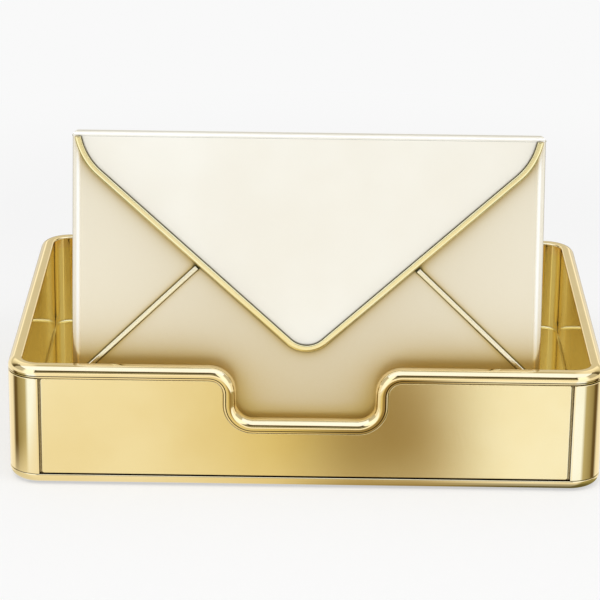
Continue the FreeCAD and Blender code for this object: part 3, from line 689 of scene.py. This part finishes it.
@dataclass
class CornerPosts:
    """Quarter-round posts between the sheets, each with a tongue behind both its sheets."""

    plan: TrayPlan
    thickness: float = 5.8
    edge: float = 0.5
    tongue: float = 6.0
    tongue_inset: float = 1.62
    overlap: float = 1.0

    def build(self) -> None:
        """Build the four posts."""
        for end in End:
            for side in Side:
                self.build_post(side, end)

    def upright(self, first: Pair, last: Pair) -> list[Corner]:
        """Give the upright rectangle over the line between two places."""
        low, high = self.plan.lip_top, self.plan.band_top
        return [Corner(*first, low), Corner(*first, high), Corner(*last, high), Corner(*last, low)]

    def build_post(self, side: Side, end: End) -> None:
        """Spin one post, join its two tongues to it and dress it.

        Args:
            side: Left or right.
            end: Front or rear.
        """
        plan, out_x, out_y = self.plan, side.value, end.value
        name = f"{end.name}_{side.name}".lower()
        x = out_x * (plan.half_width - plan.corner_radius)
        y = out_y * (plan.half_depth - plan.corner_radius)
        outer = x + out_x * plan.corner_radius
        post = draw(f"{name}_pillar", self.upright((outer, y), (outer - out_x * self.thickness, y)))
        bpy.ops.mesh.spin(steps=24, angle=-math.radians(90) * out_x * out_y,
                          center=Corner(x, y, 0).place, axis=(0, 0, 1))
        leave_drawing(fill_ends=True)
        ease_edges(post, self.edge, angle=60.0)
        face_x = out_x * (plan.half_width - self.tongue_inset)
        face_y = out_y * (plan.half_depth - self.tongue_inset)
        depth, into, reach = self.thickness - self.tongue_inset, self.overlap, self.tongue
        along_y = self.upright((face_x, y + out_y * into), (face_x, y - out_y * reach))
        along_x = self.upright((x + out_x * into, face_y), (x - out_x * reach, face_y))
        join(post, cut_sheet("tongue_y", along_y, (-out_x * depth, 0, 0)),
             cut_sheet("tongue_x", along_x, (0, -out_y * depth, 0)))
        finish_piece(post, POLISHED_BRASS, f"{name}_post")


# Envelope, drawn upright: X across, -Y towards its front, Z up from its foot


@dataclass(frozen=True)
class EnvelopePlan:
    """Sizes and the stance that the envelope's pieces share."""

    half_width: float = 114.5
    height: float = 156.25
    bar: float = 4.0
    pocket_front: float = 8.0
    ply: float = 1.0
    lean: float = 12.0
    setback: float = 83.235
    base: float = 13.3

    @property
    def inner(self) -> float:
        """Half the width between the edge bars."""
        return self.half_width - self.bar

    @property
    def stance(self) -> Matrix:
        """The turn and move from the upright drawing to the leaning envelope."""
        place = Matrix.Translation(Corner(0, -self.setback, self.base).place)
        return place @ Matrix.Rotation(-math.radians(self.lean), 4, "X")

    def corner(self, x: float, depth: float, drop: float, radius: float = 0.0) -> Corner:
        """Give a corner by its depth from the back and its drop from the top edge."""
        return Corner(x, -depth, self.height - drop, radius)

    def corners(self, depth: float, *points: Sequence[float]) -> list[Corner]:
        """Give corners at one depth, each by its place across, its drop and its radius if any."""
        return [self.corner(x, depth, *rest) for x, *rest in points]


@dataclass
class EnvelopeShell:
    """Edge bars, the folded side and bottom flaps, and the wires on their seams.

    The side tip is place across, drop and radius; the bottom tip is drop and radius.
    """

    plan: EnvelopePlan
    bar_round: float = 3.9
    bar_top_drop: float = 2.2
    side_top_drop: float = 6.0
    side_tip: Point = (14.0, 75.93, 6.0)
    seam_slope: float = 0.941
    seam_side_drop: float = 118.93
    seam_relief: float = 1.68
    bottom_tip: Pair = (47.93, 12.0)
    bottom_edge: float = 0.3
    wire_ends: Pair = (53.7, 109.0)
    wire_lift: float = 1.2
    wire_size: Pair = (2.28, 2.28)
    wire_rounds: Pair = (0.5, 0.5)

    def build(self) -> None:
        """Build and dress every piece of the shell."""
        for side in Side:
            self.build_edge_bar(side)
            self.build_side_flap(side)
            self.build_seam_trim(side)
        self.build_foot_bar()
        self.build_bottom_flap()

    def hand_over(self, piece: Piece, finish: Finish, node: str) -> None:
        """Finish a piece as one of the envelope's body, in its stance."""
        finish_piece(piece, finish, node, "envelope", self.plan.stance)

    def build_edge_bar(self, side: Side) -> None:
        """Build the half-round bar along one side."""
        plan, at, bend = self.plan, self.plan.corner, self.bar_round
        foot, front = plan.height, plan.pocket_front
        outer, inner = side.value * plan.half_width, side.value * plan.inner
        section = [at(inner, 0, foot), at(outer, 0, foot, bend), at(outer, front, foot, bend),
                   at(inner, front, foot)]
        word = side.name.lower()
        bar = sweep(f"{word}_bar", section, [section[0], at(inner, 0, self.bar_top_drop)])
        self.hand_over(bar, HIGHLIT_EDGE_LACQUER, f"{word}_edge_bar")

    def build_foot_bar(self) -> None:
        """Build the half-round bar along the foot."""
        plan, at, bend = self.plan, self.plan.corner, self.bar_round
        foot, front = plan.height, plan.pocket_front
        x, top = -plan.inner, foot - plan.bar
        section = [at(x, 0, top), at(x, 0, foot, bend), at(x, front, foot, bend), at(x, front, top)]
        bar = sweep("foot_bar", section, [section[0], at(-x, 0, top)])
        self.hand_over(bar, PEARL_LACQUER, "bottom_edge_bar")

    def build_side_flap(self, side: Side) -> None:
        """Build one side flap, whose point reaches under the bottom flap."""
        plan, word = self.plan, side.name.lower()
        outer, (tip, *drop_and_round) = side.value * plan.inner, self.side_tip
        outline = plan.corners(
            plan.pocket_front - plan.ply, (outer, self.side_top_drop),
            (side.value * tip, *drop_and_round), (outer, plan.height - plan.bar))
        flap = cut_sheet(f"{word}_fold", outline, (0, -plan.ply, 0))
        self.hand_over(flap, PEARL_LACQUER, f"{word}_side_flap")

    def build_bottom_flap(self) -> None:
        """Build the bottom flap over the side flaps."""
        plan, depth, relief = self.plan, self.plan.pocket_front, self.seam_relief
        foot, (drop, bend) = plan.height - plan.bar, self.bottom_tip
        tip = plan.inner - (self.seam_side_drop - drop) / self.seam_slope
        right = plan.corners(depth, (plan.inner, foot),
                             (plan.inner, self.seam_side_drop + relief), (tip, drop + relief, bend))
        flap = cut_sheet("foot_fold", [plan.corner(0, depth, foot), *right, *mirrored(right)],
                         (0, -plan.ply, 0))
        ease_edges(flap, self.bottom_edge)
        self.hand_over(flap, PEARL_LACQUER, "bottom_flap")

    def build_seam_trim(self, side: Side) -> None:
        """Build the flattened wire along one visible seam."""
        plan, word = self.plan, side.name.lower()
        ends = [(side.value * x, self.seam_side_drop - self.seam_slope * (plan.inner - x))
                for x in self.wire_ends]
        wire = bend_bead(f"{word}_seam_wire",
                         plan.corners(plan.pocket_front + self.wire_lift, *ends),
                         self.wire_size, self.wire_rounds)
        self.hand_over(wire, TINNED_WIRE, f"{word}_seam_trim")


def bend_bead(name: str, route: Sequence[Corner], size: Pair, rounds: Pair) -> Piece:
    """Bend a bead with a flattened section along a route.

    Args:
        name: Name of the new piece.
        route: The route of its axis.
        size: Its width across and its thickness towards the front.
        rounds: Radius of the section's corners on its upper and on its lower side.

    Returns:
        The bead.
    """
    start = route[0]
    heading = (route[1].place - start.place).normalized()
    across = heading.cross(Vector((0, 1, 0))).normalized() * size[0] / 2
    middle, reach = start.place / MM, size[1] / 2
    section = []
    for side, front in ((0, -1), (1, -1), (1, 1), (-1, 1), (-1, -1)):
        place = middle + across * side
        radius = (0.0, *rounds)[side]
        section.append(Corner(place.x, place.y + front * reach, place.z, radius))
    bead = sweep(name, section, route, section_step=12.0, route_step=3.0)
    ease_edges(bead, width=0.3, angle=70.0)
    return bead


@dataclass
class ClosingFlap:
    """The flap that folds over the top edge, and the wire round its edge.

    Shoulders and tips are place across, drop under the top edge and radius.
    """

    plan: EnvelopePlan
    back: float = 9.3
    half_width: float = 114.2
    fold_round: float = 2.0
    fold_edge: float = 0.3
    end_round: float = 2.3
    end_spare: float = 0.1
    cutter_spare: float = 1.0
    rear: float = 0.2
    band: float = 2.2
    upper_x: float = 110.08
    shoulder: Point = (107.94, 12.28, 30.0)
    tip: Point = (0, 106.76, 11.7)
    face_edge: float = 0.25
    wire_size: Pair = (3.2, 2.9)
    wire_rounds: Pair = (0.55, 1.3)
    wire_depth: float = 11.0
    wire_start: Pair = (111.57, 2.4)
    wire_shoulder: Point = (109.3, 13.08, 31.5)
    wire_tip: Point = (0, 108.75, 13.2)

    def build(self) -> None:
        """Build and dress the flap and its wire."""
        stance = self.plan.stance
        flap = join(self.build_face(), self.build_fold())
        finish_piece(flap, LIT_FLAP_LACQUER, "top_flap", "flap", stance)
        right = self.plan.corners(self.wire_depth, self.wire_tip, self.wire_shoulder,
                                  self.wire_start)
        wire = bend_bead("flap_wire", mirrored(right[1:]) + right, self.wire_size, self.wire_rounds)
        finish_piece(wire, PALE_BRASS, "flap_trim", "flap", stance)

    def build_face(self) -> Piece:
        """Cut the flap's face below the fold."""
        top, *right, tip = self.plan.corners(self.back, (0, self.band), (self.upper_x, self.band),
                                             self.shoulder, self.tip)
        face = cut_sheet("flap_skin", [top, *right, tip, *mirrored(right)], (0, -self.plan.ply, 0))
        ease_edges(face, self.face_edge)
        return face

    def build_fold(self) -> Piece:
        """Bend the strip that runs over the top edge and down to the crease."""
        at, ply, x, back = self.plan.corner, self.plan.ply, -self.half_width, self.back
        section = [at(x, self.rear, 0), at(x, back + ply, 0, self.fold_round),
                   at(x, back + ply, self.band), at(x, back, self.band),
                   at(x, back, ply, self.fold_round - 2 * ply), at(x, self.rear, ply)]
        fold = sweep("flap_fold", section, [section[0], at(-x, self.rear, 0)])
        for side in Side:
            cut_away(fold, self.end_cutter(side))
        ease_edges(fold, self.fold_edge, segments=3, angle=60.0)
        return fold

    def end_cutter(self, side: Side) -> Piece:
        """Make the thick sheet that rounds one end of the fold."""
        out, spare, reach = side.value, self.cutter_spare, self.end_round + self.end_spare
        end, deep = out * self.half_width, self.wire_depth + 2 * spare
        past, back = end + out * spare, end - out * reach
        outline = self.plan.corners(deep, (past, -spare), (past, reach), (end, reach),
                                    (end, 0, self.end_round), (back, 0), (back, -spare))
        return cut_sheet("end_cutter", outline, (0, deep + 2 * spare, 0))


@dataclass
class HiddenHardware:
    """Pieces whose CAD mesh is right: guides, base, feet, fasteners, board and hinge."""

    fasteners: tuple[str, ...] = ("tie_screws", "base_screws", "standoffs", "guide_screws",
                                  "guide_nuts", "hinge_pin")

    def build(self) -> None:
        """Dress every CAD node that stays, in its own slots."""
        feet = [f"{end.name}_{side.name}_foot".lower() for end in End for side in Side]
        for finish, nodes in (
                (POLISHED_BRASS, ("front_guide", "rear_guide")), (SATIN_BRASS, ("base_plate",)),
                (LIT_FLAP_LACQUER, ("back_plate",)),
                (PALE_BRASS, ("hinge_leaf_back", "hinge_leaf_flap")),
                (ZINC_STEEL, self.fasteners), (FOOT_RUBBER, feet), (FIBREBOARD, ("core_board",))):
            for node in nodes:
                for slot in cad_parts[node].material_slots:
                    slot.material = finish.material()
                LOG.info("%s keeps its CAD mesh, in %s", node, finish.name)


# Studio


def grey(level: float) -> tuple[float, float, float, float]:
    """Give a grey of one linear level."""
    return (level, level, level, 1.0)


def reflections_only(piece: Piece) -> None:
    """Hide a stage object from everything but glossy rays."""
    piece.visible_camera = piece.visible_diffuse = False
    piece.visible_shadow = piece.visible_transmission = False


def seen_directly(tree: Tree) -> Socket:
    """Mark the rays that show a surface itself: straight, in a mirror or through glass.

    Args:
        tree: The node tree.

    Returns:
        1 for those rays and 0 for the light that the surface gives.
    """
    path = add_node(tree, "LightPath").outputs
    seen = path["Is Camera Ray"]
    for ray in ("Is Glossy Ray", "Is Transmission Ray"):
        seen = add_node(tree, "Math", {0: seen, 1: path[ray]}, operation="MAXIMUM").outputs[0]
    return seen


@dataclass(frozen=True)
class Card:
    """A softbox, a flag or a reflector that only glossy surfaces see."""

    name: str
    middle: Point
    half_size: Pair
    glow: Point
    softness: float

    def hang(self) -> None:
        """Make the card with soft edges."""
        select()
        bpy.ops.mesh.primitive_plane_add(size=2.0, location=self.middle)
        card = bpy.context.object
        card.name = self.name
        card.scale = (*self.half_size, 1.0)
        material, tree, place = start_material(f"{self.name}_face")
        parts = split_distance(tree, place).outputs
        across, along = (add_node(tree, "MapRange", {0: parts[axis]},
                                  {1: 1.0, 2: 1.0 - self.softness}, **EASED) for axis in "XY")
        whole = add_node(tree, "Math", {0: across, 1: along}, operation="MULTIPLY")
        glow = add_node(tree, "Emission", values={"Color": (*self.glow, 1)})
        clear = add_node(tree, "BsdfTransparent")
        mix = add_node(tree, "MixShader", {0: whole, 1: clear, 2: glow})
        add_node(tree, "OutputMaterial", {"Surface": mix})
        dress(card, material)
        reflections_only(card)


CARDS = (
    Card("overhead_softbox", (0.0, -0.6, 1.5), (1.6, 0.85), (1.15, 1.35, 1.95), 0.08),
    Card("brown_flag", (0.04, -0.22, 0.0012), (0.064, 0.24), (0.325, 0.24, 0.105), 0.9),
    Card("gold_reflector", (0.01, -0.22, 0.0008), (0.104, 0.24), (0.77, 0.665, 0.32), 0.9),
    Card("warm_reflector", (-0.075, -0.22, 0.0004), (0.12, 0.24), (0.98, 0.97, 0.92), 0.6),
)


@dataclass(frozen=True)
class Lamp:
    """A square softbox that no metal mirrors."""

    name: str
    place: Point
    size: float
    power: float
    aim: Point = (0.0, 0.0, 0.06)

    def hang(self) -> None:
        """Hang the lamp and turn it to the object."""
        data = bpy.data.lights.new(self.name, "AREA")
        data.size, data.energy = self.size, self.power
        lamp = bpy.data.objects.new(self.name, data)
        bpy.context.scene.collection.objects.link(lamp)
        lamp.location = self.place
        lamp.visible_glossy = False
        turn = (Vector(self.aim) - Vector(self.place)).to_track_quat("-Z", "Y")
        lamp.rotation_euler = turn.to_euler()


# A soft key over the front from the left, and a weaker fill.
LAMPS = (Lamp("key_softbox", (-0.5, -1.3, 1.9), 1.4, 17.0),
         Lamp("fill_softbox", (1.2, -0.9, 1.4), 1.2, 7.5))

BRIGHTEST = 2.0
# Glows of the surroundings, linear, up to the brightest.
WHITE = (1.0, 1.0, 1.0)
LIT = (1.1, 1.1, 1.1)
SIDE_BOX = (1.3, 1.4, 1.65)
SIDE_SWEEP = (1.2, 1.32, 1.6)
FRONT_SWEEP = (1.1, 1.18, 1.36)
REAR_SWEEP = (0.48, 0.44, 0.34)
GREY = (0.6, 0.6, 0.6)
DUSK = (0.12, 0.1, 0.06)
BROWN = (0.14, 0.1, 0.045)
BROW = (0.1, 0.09, 0.05)
DARK = (0.06, 0.05, 0.035)
REAR_LAMP = (1.15, 1.15, 1.1)
REAR_WALL = (0.72, 0.7, 0.62)


@dataclass(frozen=True)
class Ring:
    """Glow of the surroundings by the angle from the front in degrees, alike on both sides.

    It covers what lies between two sines of the angle over the horizon, with soft borders.
    """

    stops: tuple[tuple[float, Point], ...]
    low: float = -1.2
    high: float = 1.2
    border: float = 0.04

    def colour(self, tree: Tree, turn: Socket) -> Socket:
        """Give the ring's colour, as a share of the brightest glow.

        Args:
            tree: The node tree.
            turn: The angle from the front, in radians.

        Returns:
            The colour output.
        """
        share = add_node(tree, "Math", {0: turn}, {1: math.pi}, operation="DIVIDE")
        ramp = add_node(tree, "ValToRGB", {"Fac": share})
        elements = ramp.color_ramp.elements
        while len(elements) < len(self.stops):
            elements.new(1.0)
        for element, (angle, glow) in zip(elements, self.stops):
            element.position = angle / 180
            element.color = (*(level / BRIGHTEST for level in glow), 1.0)
        return ramp.outputs["Color"]

    def cover(self, tree: Tree, colour: Socket, turn: Socket, sine: Socket) -> Socket:
        """Lay the ring over the colour of the surroundings so far.

        Args:
            tree: The node tree.
            colour: The colour so far.
            turn: The angle from the front, in radians.
            sine: Sine of the angle over the horizon.

        Returns:
            The colour output.
        """
        borders = [add_node(tree, "MapRange", {0: sine},
                            {1: start, 2: start + self.border, 3: below, 4: 1 - below}, **EASED)
                   for start, below in ((self.low, 0.0), (self.high, 1.0))]
        belt = add_node(tree, "Math", {0: borders[0], 1: borders[1]}, operation="MULTIPLY")
        mix = add_node(tree, "Mix", {0: belt, 6: colour, 7: self.colour(tree, turn)}, **COLOURS)
        return mix.outputs[2]


# The sides of the room: a framed softbox, a grey wall, a dark corner and the rear wall.
ROOM_SIDES = ((21, SIDE_BOX), (52, SIDE_BOX), (64, GREY), (98, GREY), (103, DUSK), (114, DUSK),
              (130, REAR_WALL))
# White sweep that the rest is laid over.
WHITE_SWEEP = Ring(((0, LIT), (14, LIT), (20, SIDE_SWEEP), (50, SIDE_SWEEP), (64, WHITE),
                    (155, WHITE), (168, REAR_SWEEP), (180, REAR_SWEEP)))
RINGS = (
    # Olive and brown flags low at the sides.
    Ring(((0, FRONT_SWEEP), (10, FRONT_SWEEP), (16, (1.1, 1.3, 1.9)), (43, (1.1, 1.3, 1.8)),
          (54, (0.55, 0.52, 0.36)), (82, (0.36, 0.32, 0.18)), (91, BROWN), (101, BROWN),
          (114, WHITE), (155, LIT), (168, REAR_SWEEP), (180, REAR_SWEEP)),
         high=-0.275, border=0.05),
    # Olive floor, seen where the metal turns down.
    Ring(((0, WHITE), (35, WHITE), (55, (0.4, 0.38, 0.18)), (180, (0.28, 0.26, 0.1))),
         high=-0.5),
    # The room over the horizon, dark in front.
    Ring(((0, DARK), (17, DARK), *ROOM_SIDES, (158, REAR_LAMP), (169, REAR_LAMP),
          (173, REAR_WALL), (180, REAR_WALL)), 0.156, 0.656),
    # A faint band of light across the room's front.
    Ring(((0, (0.5, 0.5, 0.4)), (17, (0.3, 0.3, 0.2)), *ROOM_SIDES, (180, REAR_WALL)),
         0.26, 0.39),
    # The dark frame over the side softboxes.
    Ring(((0, WHITE), (13, WHITE), (17, BROW), (114, BROW), (130, WHITE), (180, WHITE)),
         0.656, 0.72),
)


@dataclass
class Studio:
    """Camera, floor, lamps and surroundings. The camera's distance and aim are millimetres."""

    lens: float = 167.1
    pitch: float = 19.91
    yaw: float = -0.11
    roll: float = 0.75
    distance: float = 1435.0
    aim: Point = (-3.6, 0.0, 61.3)
    clip: Pair = (0.05, 50.0)
    white: float = 0.947
    dome: float = 0.62
    floor_size: float = 12.0
    floor_fade: Pair = (0.32, 0.62)
    paper: float = 0.4
    paper_glow: float = 0.59
    bounce: float = 0.85
    shell_radius: float = 8.0
    nadir: Pair = (-0.9, -0.5)
    nadir_share: float = 0.4

    def build(self) -> None:
        """Set up everything round the object."""
        self.place_camera()
        self.lay_floor()
        self.surround()
        for thing in CARDS + LAMPS:
            thing.hang()
        self.wrap_world()
        bpy.context.scene.view_settings.view_transform = "Standard"

    def place_camera(self) -> None:
        """Make the camera and aim it."""
        data = bpy.data.cameras.new("studio_camera")
        data.lens = self.lens
        data.clip_start, data.clip_end = self.clip
        camera = bpy.data.objects.new("studio_camera", data)
        bpy.context.scene.collection.objects.link(camera)
        yaw, tilt, roll = (Matrix.Rotation(math.radians(angle), 4, axis) for angle, axis in (
            (-self.yaw, "Z"), (90 - self.pitch, "X"), (self.roll, "Z")))
        camera.matrix_world = (Matrix.Translation(Vector(self.aim) * MM) @ yaw @ tilt @ roll
                               @ Matrix.Translation((0, 0, self.distance * MM)))
        bpy.context.scene.camera = camera

    def lay_floor(self) -> None:
        """Lay a pale floor that keeps the shadow and fades into the white."""
        select()
        bpy.ops.mesh.primitive_plane_add(size=self.floor_size)
        floor = bpy.context.object
        floor.name = "floor"
        material, tree, place = start_material("matt_paper_sweep")
        reach = add_node(tree, "VectorMath", {0: place}, operation="LENGTH")
        near = add_node(tree, "MapRange", {0: reach.outputs["Value"]},
                        {1: self.floor_fade[0], 2: self.floor_fade[1], 3: 1.0, 4: 0.0}, **EASED)
        paper, plain = (add_node(tree, "BsdfDiffuse", values={"Color": grey(level)})
                        for level in (self.paper, self.bounce))
        glow, far = (add_node(tree, "Emission",
                              values={"Color": grey(1), "Strength": self.white * share})
                     for share in (self.paper_glow, 1.0))
        lit = add_node(tree, "AddShader", {0: paper, 1: glow})
        white = add_node(tree, "MixShader", {0: near, 1: far, 2: lit})
        mix = add_node(tree, "MixShader", {0: seen_directly(tree), 1: plain, 2: white})
        add_node(tree, "OutputMaterial", {"Surface": mix})
        dress(floor, material)
        floor.visible_glossy = False

    def surround(self) -> None:
        """Wrap the set in what polished metal mirrors."""
        select()
        bpy.ops.mesh.primitive_uv_sphere_add(segments=64, ring_count=32, radius=self.shell_radius)
        shell = bpy.context.object
        shell.name = "studio_shell"
        material, tree, place = start_material("studio_walls")
        heading = add_node(tree, "VectorMath", {0: place}, operation="NORMALIZE")
        parts = add_node(tree, "SeparateXYZ", {0: heading}).outputs
        side = add_node(tree, "Math", {0: parts["X"]}, operation="ABSOLUTE")
        ahead = add_node(tree, "Math", {0: parts["Y"]}, {1: -1.0}, operation="MULTIPLY")
        turn = add_node(tree, "Math", {0: side, 1: ahead}, operation="ARCTAN2").outputs[0]
        colour = WHITE_SWEEP.colour(tree, turn)
        for ring in RINGS:
            colour = ring.cover(tree, colour, turn, parts["Z"])
        strength = add_node(tree, "MapRange", {0: parts["Z"]}, {
            1: self.nadir[0], 2: self.nadir[1], 3: self.nadir_share * BRIGHTEST,
            4: BRIGHTEST}, **EASED)
        glow = add_node(tree, "Emission", {"Color": colour, "Strength": strength})
        add_node(tree, "OutputMaterial", {"Surface": glow})
        dress(shell, material)
        reflections_only(shell)

    def wrap_world(self) -> None:
        """Show white all round, and light the set with a soft dome."""
        world = bpy.data.worlds.new("studio_surroundings")
        world.use_nodes = True
        bpy.context.scene.world = world
        tree = world.node_tree
        tree.nodes.clear()
        soft, backdrop = (add_node(tree, "Background",
                                   values={"Color": grey(1), "Strength": strength})
                          for strength in (self.dome, self.white))
        last = add_node(tree, "MixShader", {0: seen_directly(tree), 1: soft, 2: backdrop})
        add_node(tree, "OutputWorld", {"Surface": last})


def main() -> None:
    """Build the tray, the envelope and the studio in order."""
    logging.basicConfig(level=logging.INFO, format="%(name)s: %(message)s")
    tray, envelope = TrayPlan(), EnvelopePlan()
    for assembly in (PlinthRail(tray), InnerPan(tray), OuterSheets(tray), CornerPosts(tray),
                     RimMoulding(tray), EnvelopeShell(envelope), ClosingFlap(envelope),
                     HiddenHardware()):
        LOG.info("building %s", type(assembly).__name__)
        assembly.build()
    Studio().build()
    select()


if __name__ == "__main__":
    main()
